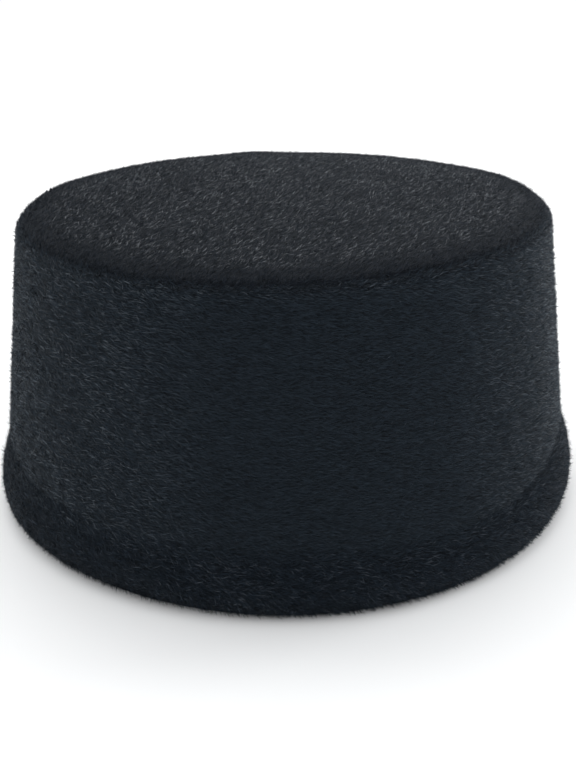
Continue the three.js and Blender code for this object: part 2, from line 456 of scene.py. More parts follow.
class CapForm:
    """The cap's outer face and walls, worked out for a set of azimuths."""

    def __init__(self, shape, azimuths):
        self.shape = shape
        self.azimuths = azimuths
        self.shoulder_radius = shape.shoulder_inner_radius + shape.plush_thickness
        self.crown_reach = shape.band_top - self.shoulder_radius
        self.crown_shoulder = self.shoulder_radius * (QUARTER - shape.seam_turn)
        self.band_shoulder = self.shoulder_radius * shape.seam_turn
        self.wall_height = shape.seam_height - shape.hem_height
        self.bulge_height = shape.hem_height - shape.hem_widest
        self.outwards = np.stack([np.cos(azimuths), np.sin(azimuths), 0 * azimuths], axis=1)
        self.hem_half_width = shape.band_foot + shape.hem_flare
        self.hem_thickness = shape.hem_flare + shape.plush_thickness + shape.hem_inner_reach
        self.hem_push = self.hem_thickness * around("hem_foot", azimuths)
        self.top_push = self.shoulder_radius * around("top", azimuths)
        self.hem_top = shape.hem_height * (1 + around("hem_line", azimuths))
        self.seam_top = shape.seam_height + self.shoulder_radius * around("seam_line", azimuths)
        for azimuth, reach, out, up in FULL_CORNERS:
            near = np.exp(-(((np.degrees(azimuths) - azimuth) / reach) ** 2))
            self.top_push = self.top_push + out * near
            self.seam_top = self.seam_top + up * near
        self.centre = self.plan_centre()

    def plan_centre(self):
        """Middle of the plan's box, which is the frame's origin."""
        even = np.linspace(0, 2 * math.pi, SOLID_RING_STEPS + 1)[:-1]
        push = self.hem_thickness * around("hem_foot", even)
        across = (self.hem_half_width + push) * np.cos(even)
        along = (self.hem_half_width * self.shape.oval_ratio + push) * np.sin(even)
        return (across.max() + across.min()) / 2, (along.max() + along.min()) / 2

    def ring(self, half_width, height, push):
        """One ring of points at a half-width, a height and an outward push."""
        across = (half_width + push) * np.cos(self.azimuths) - self.centre[0]
        along = (half_width * self.shape.oval_ratio + push) * np.sin(self.azimuths) - self.centre[1]
        return np.stack([across, along, height + 0 * across], axis=1)

    def crown_ring(self, portion, depth):
        """The crown at a portion of the way from its middle to the shoulder, a depth under the tips."""
        edge = self.seam_top - self.shape.seam_height
        rise = self.shape.crown_dome * (1 - portion**2) + edge * portion**2
        height = self.shape.seam_height + rise - depth
        return self.ring(self.crown_reach * portion, height, self.top_push * portion)

    def crown_middle(self, depth):
        """The middle of the crown, a depth under the pile's tips."""
        return -self.centre[0], -self.centre[1], self.shape.seam_height + self.shape.crown_dome - depth

    def shoulder_ring(self, turn, depth, gap_side=0):
        """The shoulder between band (turn 0) and crown (a quarter turn), moved along it by the seam's gap."""
        radius = self.shoulder_radius - depth
        offset = gap_side * self.shape.piece_gap / 2
        half_width = self.crown_reach + radius * math.cos(turn) - offset * math.sin(turn)
        height = self.seam_top - self.shoulder_radius + radius * math.sin(turn) + offset * math.cos(turn)
        return self.ring(half_width, height, self.top_push)

    def band_ring(self, portion, depth):
        """The band at a portion of the way from the hem up to the shoulder."""
        foot = self.hem_top + self.shape.piece_gap
        height = foot + (self.seam_top - self.shoulder_radius - foot) * portion
        half_width = self.shape.band_foot + (self.shape.band_top - self.shape.band_foot) * portion
        push = self.hem_push + (self.top_push - self.hem_push) * portion
        return self.ring(half_width - depth, height, push)

    def hem_bulge_ring(self, portion, depth):
        """The hem's outer face from its widest line (0) up to the band (1)."""
        half_width = self.hem_half_width - self.shape.hem_flare * portion**2
        height = self.shape.hem_widest + (self.hem_top - self.shape.hem_widest) * portion
        return self.ring(half_width - depth, height, self.hem_push)

    def hem_under_ring(self, turn, depth):
        """The hem's outer face from its seat (0) round to its widest line (a quarter turn)."""
        inner = self.hem_half_width - self.hem_thickness
        seat = inner + self.shape.hem_inner_round + self.shape.hem_seat_width
        half_width = seat + (self.hem_half_width - depth - seat) * math.sin(turn)
        off_seat = 1 - math.exp(-turn / HEM_SEAT_TURN)
        height = self.shape.hem_widest * (1 - math.cos(turn)) + depth * math.cos(turn) * off_seat
        return self.ring(half_width, height, self.hem_push)

    def seam_sink(self, away, on_crown):
        """How deep the top seam sinks the cloth at a distance from it, on the crown or on the band."""
        shape = self.shape
        dip = shape.seam_dip * math.exp(-((away / shape.seam_dip_width) ** 2))
        droop = shape.crown_droop * (1 - FRONT_DROOP * np.sin(self.azimuths))
        if on_crown:
            return dip + droop * math.exp(-((away / shape.crown_droop_width) ** 2))
        in_front = np.clip(-np.sin(self.azimuths), 0, 1)
        return dip + shape.band_droop * in_front * droop * math.exp(-((away / shape.band_droop_width) ** 2))

    def hem_sink(self, away):
        """How deep the hem's seam sinks the cloth at a distance from it, most at the sides."""
        most = self.shape.hem_dip * (HEM_DIP_FRONT + (1 - HEM_DIP_FRONT) * np.cos(self.azimuths) ** 2)
        return most * math.exp(-((away / self.shape.hem_dip_width) ** 2))


def ring_azimuths():
    """Evenly spaced azimuths, closer together at the back seam."""
    even = np.linspace(0, 2 * math.pi, RING_STEPS + 1)[:-1]
    return np.sort(np.concatenate([even, BACK_SEAM_AZIMUTH + np.array(BACK_SEAM_STEPS)]))


def seam_closeness(azimuths, width):
    """1 at the back seam, falling off on both sides over a width in radians."""
    apart = np.abs(azimuths - BACK_SEAM_AZIMUTH)
    return np.exp(-((apart / width) ** 2))


def drawn_in(ring, form, depth):
    """A ring pulled towards the axis by a depth for each azimuth."""
    return ring - form.outwards * depth[:, None]


def ring_mesh(name, rings, closed, poles=()):
    """A mesh swept through rings of points. A closed section joins its last ring to its first."""
    count = len(rings[0])
    points = [point for ring in rings for point in ring]
    links = len(rings) if closed else len(rings) - 1
    faces = []
    for link in range(links):
        low = link * count
        high = ((link + 1) % len(rings)) * count
        for step in range(count):
            after = (step + 1) % count
            faces.append((low + step, low + after, high + after, high + step))
    for pole, ring_index, upward in poles:
        points.append(pole)
        tip = len(points) - 1
        start = ring_index * count
        for step in range(count):
            here = start + step
            after = start + (step + 1) % count
            faces.append((tip, here, after) if upward else (tip, after, here))
    mesh = bpy.data.meshes.new(name)
    mesh.from_pydata([tuple(point) for point in points], [], faces)
    mesh.update()
    return mesh


def map_cloth(mesh, flat=False):
    """A map in metres on a cloth: flat from above, or round the cap and up it."""
    cloth_map = mesh.uv_layers.new(name=CLOTH_MAP)
    places = points_of(mesh)
    corners = np.empty(len(mesh.loops), dtype=np.int32)
    mesh.loops.foreach_get("vertex_index", corners)
    there = places[corners]
    if flat:
        values = there[:, :2]
    else:
        turn = np.arctan2(there[:, 1], there[:, 0])
        starts = np.empty(len(mesh.polygons), dtype=np.int32)
        mesh.polygons.foreach_get("loop_start", starts)
        sizes = np.diff(np.append(starts, len(corners)))
        first = np.repeat(turn[starts], sizes)
        turn = first + (turn - first + math.pi) % (2 * math.pi) - math.pi
        radius = np.hypot(there[:, 0], there[:, 1]).mean()
        values = np.stack([turn * radius, there[:, 2]], axis=1)
    cloth_map.data.foreach_set("uv", np.asarray(values, dtype=np.float32).ravel())


def smooth(mesh):
    """Shades a mesh smooth."""
    mesh.polygons.foreach_set("use_smooth", [True] * len(mesh.polygons))
    mesh.update()


def show(mesh, name):
    """An object for a mesh, linked to the scene."""
    piece = bpy.data.objects.new(name, mesh)
    bpy.context.scene.collection.objects.link(piece)
    return piece


def set_vectors(mesh, name, vectors):
    """Stores a vector for each point of a mesh."""
    attribute = mesh.attributes.new(name, "FLOAT_VECTOR", "POINT")
    attribute.data.foreach_set("vector", np.asarray(vectors, dtype=np.float32).ravel())


def set_numbers(mesh, name, numbers):
    """Stores a number for each point of a mesh."""
    attribute = mesh.attributes.new(name, "FLOAT", "POINT")
    attribute.data.foreach_set("value", np.asarray(numbers, dtype=np.float32).ravel())


def socket(tree, name, in_out, socket_type, default=None):
    """A named socket on a node group."""
    made = tree.interface.new_socket(name=name, in_out=in_out, socket_type=socket_type)
    if default is not None:
        made.default_value = default
    return made


def node(tree, kind, inputs=None, **settings):
    """A node with its settings and its inputs, which are values or sockets to link from."""
    made = tree.nodes.new(kind)
    for key, value in settings.items():
        setattr(made, key, value)
    for key, value in (inputs or {}).items():
        if isinstance(value, bpy.types.NodeSocket):
            tree.links.new(value, made.inputs[key])
        else:
            made.inputs[key].default_value = value
    return made


def math_node(tree, operation, first, second=0.0):
    """The result of one sum in a node tree."""
    return node(tree, "ShaderNodeMath", {0: first, 1: second}, operation=operation).outputs[0]


def lock_collection():
    """The few shapes of lock that the pile is made of, in a collection of their own."""
    collection = bpy.data.collections.new("locks")
    bpy.context.scene.collection.children.link(collection)
    for index, (aside, rise) in enumerate(LOCK_TIPS):
        points = [(0.0, -0.5, LOCK_ROOT_SINK), (1.0, aside, rise), (0.0, 0.5, LOCK_ROOT_SINK)]
        mesh = bpy.data.meshes.new(f"lock_{index}")
        mesh.from_pydata(points, [], [(0, 1, 2)])
        set_numbers(mesh, "along", [0.0, 1.0, 0.0])
        set_numbers(mesh, "across", [-1.0, 0.0, 1.0])
        smooth(mesh)
        lock = bpy.data.objects.new(mesh.name, mesh)
        collection.objects.link(lock)
    return collection


def remove_collection(collection):
    """Takes the lock shapes away again, once the pile is a plain mesh."""
    for thing in list(collection.objects):
        bpy.data.objects.remove(thing)
    bpy.data.collections.remove(collection)


# Named inputs of the pile's tree, each with its kind of socket and its default
PILE_INPUTS = (
    ("Cloth", "Geometry", None),
    ("Locks", "Collection", None),
    ("Density", "Float", 4.0e6),
    ("Length", "Float", 0.004),
    ("Width", "Float", 0.0003),
    ("Lift", "Float", 0.05),
    ("Lift spread", "Float", 0.15),
    ("Stray", "Float", 0.3),
    ("Roll", "Float", 0.6),
    ("Light locks", "Float", 0.05),
    ("Loose locks", "Float", 0.05),
    ("Clump size", "Float", 0.006),
    ("Patchiness", "Float", 0.1),
    ("Seed", "Int", 1),
    ("Material", "Material", None),
)


def pile_tree():
    """Geometry Nodes that grow locks of pile on a cloth face along its nap."""
    if "Grow pile" in bpy.data.node_groups:
        return bpy.data.node_groups["Grow pile"]
    tree = bpy.data.node_groups.new("Grow pile", "GeometryNodeTree")
    for name, kind, default in PILE_INPUTS:
        socket(tree, name, "INPUT", f"NodeSocket{kind}", default)
    socket(tree, "Pile", "OUTPUT", "NodeSocketGeometry")
    given = node(tree, "NodeGroupInput").outputs

    def times(first, second):
        return math_node(tree, "MULTIPLY", first, second)

    def plus(first, second):
        return math_node(tree, "ADD", first, second)

    def centred(value):
        return math_node(tree, "SUBTRACT", value, 0.5)

    def random_number(use, limits=(0.0, 1.0)):
        seed = plus(given["Seed"], SEED_STEPS[use])
        made = node(tree, "FunctionNodeRandomValue", {"Seed": seed}, data_type="FLOAT")
        made.inputs[2].default_value, made.inputs[3].default_value = limits
        return made.outputs[1]

    def stored(name, kind="FLOAT"):
        return node(tree, "GeometryNodeInputNamedAttribute", {"Name": name}, data_type=kind).outputs[0]

    def noise(scale, detail):
        values = {"Vector": place, "Scale": scale, "Detail": detail}
        return node(tree, "ShaderNodeTexNoise", values, noise_dimensions="3D").outputs

    place = node(tree, "GeometryNodeInputPosition").outputs[0]
    spread = node(
        tree,
        "GeometryNodeDistributePointsOnFaces",
        {
            "Mesh": given["Cloth"],
            "Density": times(given["Density"], stored("density_share")),
            "Seed": given["Seed"],
        },
        distribute_method="RANDOM",
    )

    clump = noise(math_node(tree, "DIVIDE", 1.0, given["Clump size"]), CLUMP_DETAIL)
    parts = node(tree, "ShaderNodeSeparateXYZ", {0: clump["Color"]}).outputs
    ruffled = plus(1.0, stored("ruffle"))
    clump_turn = times(centred(parts[0]), CLUMP_TURN)
    strayed = plus(clump_turn, times(random_number("turn", (-1.0, 1.0)), OWN_TURN))
    turned_about = math_node(tree, "LESS_THAN", random_number("turned about"), stored("turned_about"))
    turn = plus(times(turned_about, math.pi), times(strayed, times(given["Stray"], ruffled)))

    clump_lift = times(centred(parts[1]), CLUMP_LIFT)
    own_lift = plus(clump_lift, random_number("lift", OWN_LIFT))
    laid_lift = plus(given["Lift"], times(own_lift, times(given["Lift spread"], ruffled)))
    loose_share = times(given["Loose locks"], plus(1.0, stored("fringe")))
    loose = math_node(tree, "LESS_THAN", random_number("loose"), loose_share)
    more_lift = plus(1.0, times(stored("fringe"), FRINGE_LIFT))
    lift = plus(laid_lift, times(loose, times(more_lift, LOOSE_LIFT)))
    roll = times(random_number("roll", (-1.0, 1.0)), given["Roll"])

    laid = node(
        tree,
        "FunctionNodeAxesToRotation",
        {"Primary Axis": spread.outputs["Normal"], "Secondary Axis": stored("nap", "FLOAT_VECTOR")},
        primary_axis="Z",
        secondary_axis="X",
    )
    own_angles = node(tree, "ShaderNodeCombineXYZ", {"X": roll, "Y": times(lift, -1.0), "Z": turn})
    own_rotation = node(tree, "FunctionNodeEulerToRotation", {0: own_angles.outputs[0]})
    rotation = node(
        tree,
        "FunctionNodeRotateRotation",
        {"Rotation": laid.outputs[0], "Rotate By": own_rotation.outputs[0]},
        rotation_space="LOCAL",
    )

    long = times(given["Length"], times(stored("length_share"), random_number("length", OWN_LENGTH)))
    # Light locks, the painted glints, are also wider.
    painted_glint_from = math_node(tree, "SUBTRACT", 1.0, given["Light locks"])
    light = math_node(tree, "GREATER_THAN", stored("tone"), painted_glint_from)
    own_width = times(random_number("width", OWN_WIDTH), plus(1.0, times(light, LIGHT_WIDTH)))
    ruffled_width = plus(1.0, times(stored("ruffle"), RUFFLED_WIDTH))
    wide = times(given["Width"], times(own_width, ruffled_width))
    size = node(tree, "ShaderNodeCombineXYZ", {"X": long, "Y": wide, "Z": long})
    each_lock = {"Collection": given["Locks"], "Separate Children": True}
    shapes = node(tree, "GeometryNodeCollectionInfo", each_lock)
    pick_seed = plus(given["Seed"], SEED_STEPS["shape"])
    pick = node(tree, "FunctionNodeRandomValue", {"Seed": pick_seed}, data_type="INT")
    pick.inputs[4].default_value, pick.inputs[5].default_value = 0, len(LOCK_TIPS) - 1

    patch = times(centred(noise(1 / PATCH_SIZE, 1.0)[0]), given["Patchiness"])
    patched = times(random_number("tone"), plus(1.0, patch))
    # Each lock's random tone is capped by the bed's tone cap, which carries painted shade and painted light.
    toned = node(
        tree,
        "GeometryNodeStoreNamedAttribute",
        {
            "Geometry": spread.outputs["Points"],
            "Name": "tone",
            "Value": math_node(tree, "MINIMUM", patched, stored("lightest_tone")),
        },
        data_type="FLOAT",
        domain="POINT",
    )
    planted = node(
        tree,
        "GeometryNodeInstanceOnPoints",
        {
            "Points": toned.outputs[0],
            "Instance": shapes.outputs[0],
            "Pick Instance": True,
            "Instance Index": pick.outputs[2],
            "Rotation": rotation.outputs[0],
            "Scale": size.outputs[0],
        },
    )
    real = node(tree, "GeometryNodeRealizeInstances", {"Geometry": planted.outputs[0]})
    tone_place = math_node(tree, "MULTIPLY_ADD", stored("tone"), TONE_SPAN)
    tone_place.node.inputs[2].default_value = TONE_MARGIN
    lock_map = node(
        tree,
        "ShaderNodeCombineXYZ",
        {
            "X": plus(tone_place, times(stored("across"), TONE_MARGIN)),
            "Y": times(stored("along"), ALONG_SPAN),
        },
    )
    mapped = node(
        tree,
        "GeometryNodeStoreNamedAttribute",
        {"Geometry": real.outputs[0], "Name": "OFBake", "Value": lock_map.outputs[0]},
        data_type="FLOAT2",
        domain="CORNER",
    )
    undressed = {"Geometry": mapped.outputs[0], "Material": given["Material"]}
    dressed = node(tree, "GeometryNodeSetMaterial", undressed)
    node(tree, "NodeGroupOutput", {"Pile": dressed.outputs[0]})
    return tree


def grow_pile(name, bed, pile, fibres, seed, material):
    """A plain mesh of pile on a bed mesh, which is used up."""
    shares = np.empty(len(bed.vertices), dtype=np.float32)
    bed.attributes["density_share"].data.foreach_get("value", shares)
    area = sum(face.area * shares[list(face.vertices)].mean() for face in bed.polygons)
    holder = show(bed, name + "_bed")
    locks = lock_collection()
    tree = pile_tree()
    modifier = holder.modifiers.new("Pile", "NODES")
    modifier.node_group = tree
    values = {
        "Locks": locks,
        "Density": fibres / area,
        "Length": pile.fibre_length,
        "Width": pile.fibre_width,
        "Lift": pile.lift,
        "Lift spread": pile.lift_spread,
        "Stray": pile.stray,
        "Roll": pile.roll,
        "Light locks": pile.painted_glint_locks,
        "Loose locks": pile.loose,
        "Clump size": pile.clump_size,
        "Patchiness": 2 * pile.patchiness,
        "Seed": seed,
        "Material": material,
    }
    for item in tree.interface.items_tree:
        if item.in_out == "INPUT" and item.name in values:
            modifier[item.identifier] = values[item.name]
    holder.update_tag()
    bpy.context.view_layer.update()
    depsgraph = bpy.context.evaluated_depsgraph_get()
    mesh = bpy.data.meshes.new_from_object(holder.evaluated_get(depsgraph), depsgraph=depsgraph)
    holder.modifiers.clear()
    bpy.data.objects.remove(holder)
    remove_collection(locks)
    for spare in ("nap", *BED_COLUMNS, "tone", "along", "across"):
        if spare in mesh.attributes:
            mesh.attributes.remove(mesh.attributes[spare])
    mesh.name = name
    places = points_of(mesh)
    places[:, 2] = np.maximum(places[:, 2], FLOOR_CLEARANCE)
    move_points(mesh, places)
    if not mesh.materials:
        mesh.materials.append(material)
    if len(mesh.polygons) < GROWN_SHARE * fibres:
        raise RuntimeError(f"{name} grew only {len(mesh.polygons)} faces")
    return show(mesh, name)


def grow_parts(kind, bed, parts, pile, look, first_seed):
    """Pile on parts of one bed: for each part its name, the steps round that it takes up and its locks."""
    grown_piles = []
    for seed, (part, chosen, fibres) in enumerate(parts, first_seed):
        cloth_face = bed.mesh(f"{kind}_bed_{part}", np.nonzero(chosen)[0])
        grown = grow_pile(f"{kind}_pile_{part}", cloth_face, pile, fibres, seed, look)
        finish_piece(grown)
        grown_piles.append(grown)
    return grown_piles


def shader_tree(name):
    """An empty material with its node tree."""
    material = bpy.data.materials.new(name)
    material.use_nodes = True
    material.node_tree.nodes.clear()
    return material, material.node_tree


def surface(tree, **inputs):
    """Ends a material in one plain surface, whose inputs are named with underscores for spaces."""
    values = {key.replace("_", " "): value for key, value in inputs.items()}
    made = node(tree, "ShaderNodeBsdfPrincipled", values)
    node(tree, "ShaderNodeOutputMaterial", {"Surface": made.outputs[0]})


def blended(tree, portion, first, second):
    """A colour between two colours."""
    inputs = {"Factor": portion, 6: first, 7: second}
    return node(tree, "ShaderNodeMix", inputs, data_type="RGBA").outputs[2]


def pile_shade_group():
    """Colour and roughness of a lock of pile, by its own tone and by how far along it a point is; its
    lightest tones are painted glints.
    """
    if "Pile shade" in bpy.data.node_groups:
        return bpy.data.node_groups["Pile shade"]
    tree = bpy.data.node_groups.new("Pile shade", "ShaderNodeTree")
    socket(tree, "Place", "INPUT", "NodeSocketVector")
    socket(tree, "Root", "INPUT", "NodeSocketColor")
    socket(tree, "Tip", "INPUT", "NodeSocketColor")
    socket(tree, "Tone spread", "INPUT", "NodeSocketFloat", 0.4)
    socket(tree, "Light locks", "INPUT", "NodeSocketFloat", 0.06)
    socket(tree, "Light", "INPUT", "NodeSocketColor")
    socket(tree, "Colour", "OUTPUT", "NodeSocketColor")
    socket(tree, "Roughness", "OUTPUT", "NodeSocketFloat")
    given = node(tree, "NodeGroupInput").outputs
    place = node(tree, "ShaderNodeSeparateXYZ", {0: given["Place"]}).outputs
    tone = place[0]
    lock_range = {"Value": place[1], "From Min": ROOT_END, "From Max": TIP_START}
    rise = node(tree, "ShaderNodeMapRange", lock_range, interpolation_type="SMOOTHSTEP").outputs[0]
    swing = math_node(tree, "MULTIPLY", math_node(tree, "SUBTRACT", tone, 0.5), 2.0)
    shade = math_node(tree, "ADD", 1.0, math_node(tree, "MULTIPLY", swing, given["Tone spread"]))
    rooted = blended(tree, rise, given["Root"], given["Tip"])
    toned = node(tree, "ShaderNodeVectorMath", {0: rooted, "Scale": shade}, operation="SCALE").outputs[0]
    painted_glint_from = math_node(tree, "SUBTRACT", LIGHTEST_TONE, given["Light locks"])
    light_range = {"Value": tone, "From Min": painted_glint_from, "From Max": LIGHTEST_TONE}
    light = node(tree, "ShaderNodeMapRange", light_range).outputs[0]
    with_painted_glints = blended(tree, math_node(tree, "MULTIPLY", light, rise), toned, given["Light"])
    rough_range = {"Value": tone, "To Min": LOCK_ROUGHNESS[0], "To Max": LOCK_ROUGHNESS[1]}
    rough = node(tree, "ShaderNodeMapRange", rough_range).outputs[0]
    node(tree, "NodeGroupOutput", {"Colour": with_painted_glints, "Roughness": rough})
    return tree


def pile_material(name, pile):
    """Plush pile: dark roots, lighter tips, a few light locks that are painted glints, and a soft cool sheen.
    """
    material, tree = shader_tree(name)
    place = node(tree, "ShaderNodeUVMap", uv_map="OFBake").outputs[0]
    shade = node(tree, "ShaderNodeGroup", node_tree=pile_shade_group())
    tree.links.new(place, shade.inputs["Place"])
    shade.inputs["Root"].default_value = (*pile.root, 1.0)
    shade.inputs["Tip"].default_value = (*pile.tip, 1.0)
    shade.inputs["Tone spread"].default_value = pile.tone_spread
    shade.inputs["Light locks"].default_value = pile.painted_glint_locks
    shade.inputs["Light"].default_value = (*pile.light, 1.0)
    surface(
        tree,
        Base_Color=shade.outputs["Colour"],
        Roughness=shade.outputs["Roughness"],
        Specular_IOR_Level=pile.gloss,
        Specular_Tint=COOL_GLOSS,
        Sheen_Weight=pile.sheen,
        Sheen_Roughness=SHEEN_ROUGHNESS,
        Sheen_Tint=COOL_SHEEN,
    )
    return material


def cloth_grain_group():
    """Broken streaks that stand for the short pile between the locks."""
    if "Pile bed grain" in bpy.data.node_groups:
        return bpy.data.node_groups["Pile bed grain"]
    tree = bpy.data.node_groups.new("Pile bed grain", "ShaderNodeTree")
    socket(tree, "Dark", "INPUT", "NodeSocketColor")
    socket(tree, "Light", "INPUT", "NodeSocketColor")
    socket(tree, "Grain", "INPUT", "NodeSocketFloat", 900.0)
    socket(tree, "Colour", "OUTPUT", "NodeSocketColor")
    socket(tree, "Height", "OUTPUT", "NodeSocketFloat")
    given = node(tree, "NodeGroupInput").outputs
    place = node(tree, "ShaderNodeTexCoord").outputs["Object"]
    fine_grain = {"Vector": place, "Scale": given["Grain"], "Detail": 3.0, "Roughness": 0.6}
    fine = node(tree, "ShaderNodeTexNoise", fine_grain).outputs[0]
    broad_grain = {"Vector": place, "Scale": BROAD_GRAIN, "Detail": 2.0}
    broad = node(tree, "ShaderNodeTexNoise", broad_grain).outputs[0]
    both = math_node(tree, "MULTIPLY", fine, math_node(tree, "ADD", broad, 0.5))
    grain_colour = blended(tree, both, given["Dark"], given["Light"])
    node(tree, "NodeGroupOutput", {"Colour": grain_colour, "Height": fine})
    return tree


def bed_material(name, pile):
    """The cloth face that the pile grows from, almost hidden by it."""
    material, tree = shader_tree(name)
    grain = node(tree, "ShaderNodeGroup", node_tree=cloth_grain_group())
    grain.inputs["Dark"].default_value = (*[value * BED_ROOT_SHARE for value in pile.root], 1.0)
    grain.inputs["Light"].default_value = (*[value * BED_TIP_SHARE for value in pile.tip], 1.0)
    relief = {"Height": grain.outputs["Height"], "Strength": BED_GRAIN_STRENGTH, "Distance": BED_GRAIN_DEPTH}
    surface(
        tree,
        Base_Color=grain.outputs["Colour"],
        Normal=node(tree, "ShaderNodeBump", relief).outputs[0],
        Roughness=BED_ROUGHNESS,
        Specular_IOR_Level=BED_GLOSS,
        Sheen_Weight=BED_SHEEN_SHARE * pile.sheen,
        Sheen_Tint=COOL_SHEEN,
    )
    return material


def backing_material():
    """Plain woven back of the plush, seen inside the cap, on the cloth's own map in metres."""
    if "Plush backing" in bpy.data.materials:
        return bpy.data.materials["Plush backing"]
    material, tree = shader_tree("Plush backing")
    place = node(tree, "ShaderNodeUVMap", uv_map=CLOTH_MAP).outputs[0]
    threads = []
    for stretch in (THREAD_STRETCH, THREAD_STRETCH[::-1]):
        stretched = node(tree, "ShaderNodeVectorMath", {0: place, 1: (*stretch, 1.0)}, operation="MULTIPLY")
        thread_grain = {"Vector": stretched.outputs[0], "Scale": 1.0, "Detail": 2.0}
        thread = node(tree, "ShaderNodeTexNoise", thread_grain)
        threads.append(thread.outputs[0])
    weave = math_node(tree, "MAXIMUM", *threads)
    weave_range = {"Value": weave, "From Min": THREAD_RANGE[0], "From Max": THREAD_RANGE[1]}
    raised = node(tree, "ShaderNodeMapRange", weave_range).outputs[0]
    relief = {"Height": weave, "Strength": THREAD_STRENGTH, "Distance": THREAD_DEPTH}
    surface(
        tree,
        Base_Color=blended(tree, raised, (*BACKING_DARK, 1.0), (*BACKING_LIGHT, 1.0)),
        Normal=node(tree, "ShaderNodeBump", relief).outputs[0],
        Roughness=BACKING_ROUGHNESS,
        Specular_IOR_Level=BACKING_GLOSS,
        Sheen_Weight=BACKING_SHEEN,
    )
    return material


def points_of(mesh):
    """The places of a mesh's points."""
    places = np.empty(len(mesh.vertices) * 3, dtype=np.float32)
    mesh.vertices.foreach_get("co", places)
    return places.reshape(-1, 3).astype(float)


def move_points(mesh, places):
    """Puts a mesh's points at new places."""
    mesh.vertices.foreach_set("co", np.asarray(places, dtype=np.float32).ravel())
    mesh.update()


def stuff(piece, filling, held_points):
    """Fills a sewn piece by a short cloth simulation under pressure, and applies what comes of it."""
    scene = bpy.context.scene
    start = points_of(piece.data)
    held = piece.vertex_groups.new(name="sewn")
    held.add([int(index) for index in held_points], 1.0, "REPLACE")
    cloth = piece.modifiers.new("Filling", "CLOTH")
    cloth.settings.vertex_group_mass = held.name
    cloth.settings.use_pressure = True
    cloth.settings.uniform_pressure_force = filling.pressure
    cloth.settings.effector_weights.gravity = 0.0
    cloth.settings.tension_stiffness = filling.stiffness
    cloth.settings.compression_stiffness = filling.stiffness
    cloth.point_cache.frame_start = 1
    cloth.point_cache.frame_end = filling.frames
    for frame_number in range(1, filling.frames + 1):
        scene.frame_set(frame_number)
    depsgraph = bpy.context.evaluated_depsgraph_get()
    filled = points_of(piece.evaluated_get(depsgraph).data)
    piece.modifiers.clear()
    piece.vertex_groups.clear()
    scene.frame_set(1)
    move = filled - start
    reach = np.linalg.norm(move, axis=1)
    move *= np.minimum(1.0, filling.travel / np.maximum(reach, SMALLEST_MOVE))[:, None]
    places = start + move
    places[:, 2] = np.maximum(places[:, 2], 0.0)
    move_points(piece.data, places)


def paint_parts(mesh, materials, part_of_face):
    """Gives each face of a mesh one of several materials."""
    for material in materials:
        mesh.materials.append(material)
    mesh.polygons.foreach_set("material_index", part_of_face)
    mesh.update()


# The bed's columns; the tone cap among them carries painted shade at the seams and the hem's sides, painted
# light under the top seam and painted sheen on the band's sides.
BED_COLUMNS = ("length_share", "density_share", "lightest_tone", "turned_about", "ruffle", "fringe")


class Bed:
    """The open outer face that pile grows on, ring by ring, with its nap and its shares on each ring."""

    def __init__(self):
        self.rings = []
        self.naps = []
        self.columns = {column: [] for column in BED_COLUMNS}
        self.pole = None

    # The tone share caps how light a ring's locks may be: painted shade and painted light, not the cloth's
    # own colour.
    def add(self, ring, nap, length=1.0, density=1.0, tone=1.0, turned_about=0.0, ruffle=0.0, fringe=0.0):
        """One more ring; each share is a number or a value for each of its points."""
        self.rings.append(ring)
        self.naps.append(nap)
        for column, value in zip(BED_COLUMNS, (length, density, tone, turned_about, ruffle, fringe)):
            self.columns[column].append(np.zeros(len(ring)) + value)

    def mesh(self, name, steps=None):
        """The face as a mesh, all round or only at some of its steps."""
        count = len(self.rings[0])
        chosen = range(count) if steps is None else steps
        points = [tuple(point) for ring in self.rings for point in ring]
        naps = [nap for ring in self.naps for nap in ring]
        columns = {column: np.concatenate(values) for column, values in self.columns.items()}
        faces = []
        for link in range(len(self.rings) - 1):
            low = link * count
            high = (link + 1) * count
            for step in chosen:
                after = (step + 1) % count
                faces.append((low + step, low + after, high + after, high + step))
        if self.pole is not None:
            points.append(self.pole)
            naps.append(naps[-1])
            columns = {column: np.append(values, values[-1]) for column, values in columns.items()}
            start = (len(self.rings) - 1) * count
            for step in chosen:
                faces.append((start + step, start + (step + 1) % count, len(points) - 1))
        mesh = bpy.data.meshes.new(name)
        mesh.from_pydata(points, [], faces)
        set_vectors(mesh, "nap", naps)
        for column, values in columns.items():
            set_numbers(mesh, column, values)
        smooth(mesh)
        return mesh


def brushed_back(form, mingle):
    """Share of locks turned about: the nap runs from the front to the back on both sides, ruffled on one."""
    from_front = (form.azimuths - FRONT_AZIMUTH + math.pi) % (2 * math.pi) - math.pi
    ramp = np.clip(0.5 - from_front / (2 * mingle), 0, 1)
    return RUFFLED_SHARE * np.where(np.abs(from_front) < QUARTER, ramp, (np.cos(form.azimuths) < 0) * 1.0)


def nap_round(form, fall, sway):
    """Directions round the cap, anticlockwise from above, falling by an angle that grows to one side."""
    fall_here = fall + sway * np.clip(-np.cos(form.azimuths), 0, 1)
    level = np.stack([-np.sin(form.azimuths), np.cos(form.azimuths), 0 * form.azimuths], axis=1)
    down = np.array([0.0, 0.0, -1.0])
    return level * np.cos(fall_here)[:, None] + down * np.sin(fall_here)[:, None]


def painted_seam_shade(away, width, shade):
    """How light the pile's locks may be at a distance from a seam: painted shade, darker towards the seam and
    without light locks near it.
    """
    return 1 - shade * math.exp(-((max(away, 0) / width) ** 2))


def seam_cover(away, overlap):
    """Density of a pile at a distance from the top seam on its own side, or past the seam where negative."""
    if away < 0:
        return SEAM_COVER * (1 + away / overlap)
    return min(1.0, SEAM_COVER + (1 - SEAM_COVER) * away / overlap)


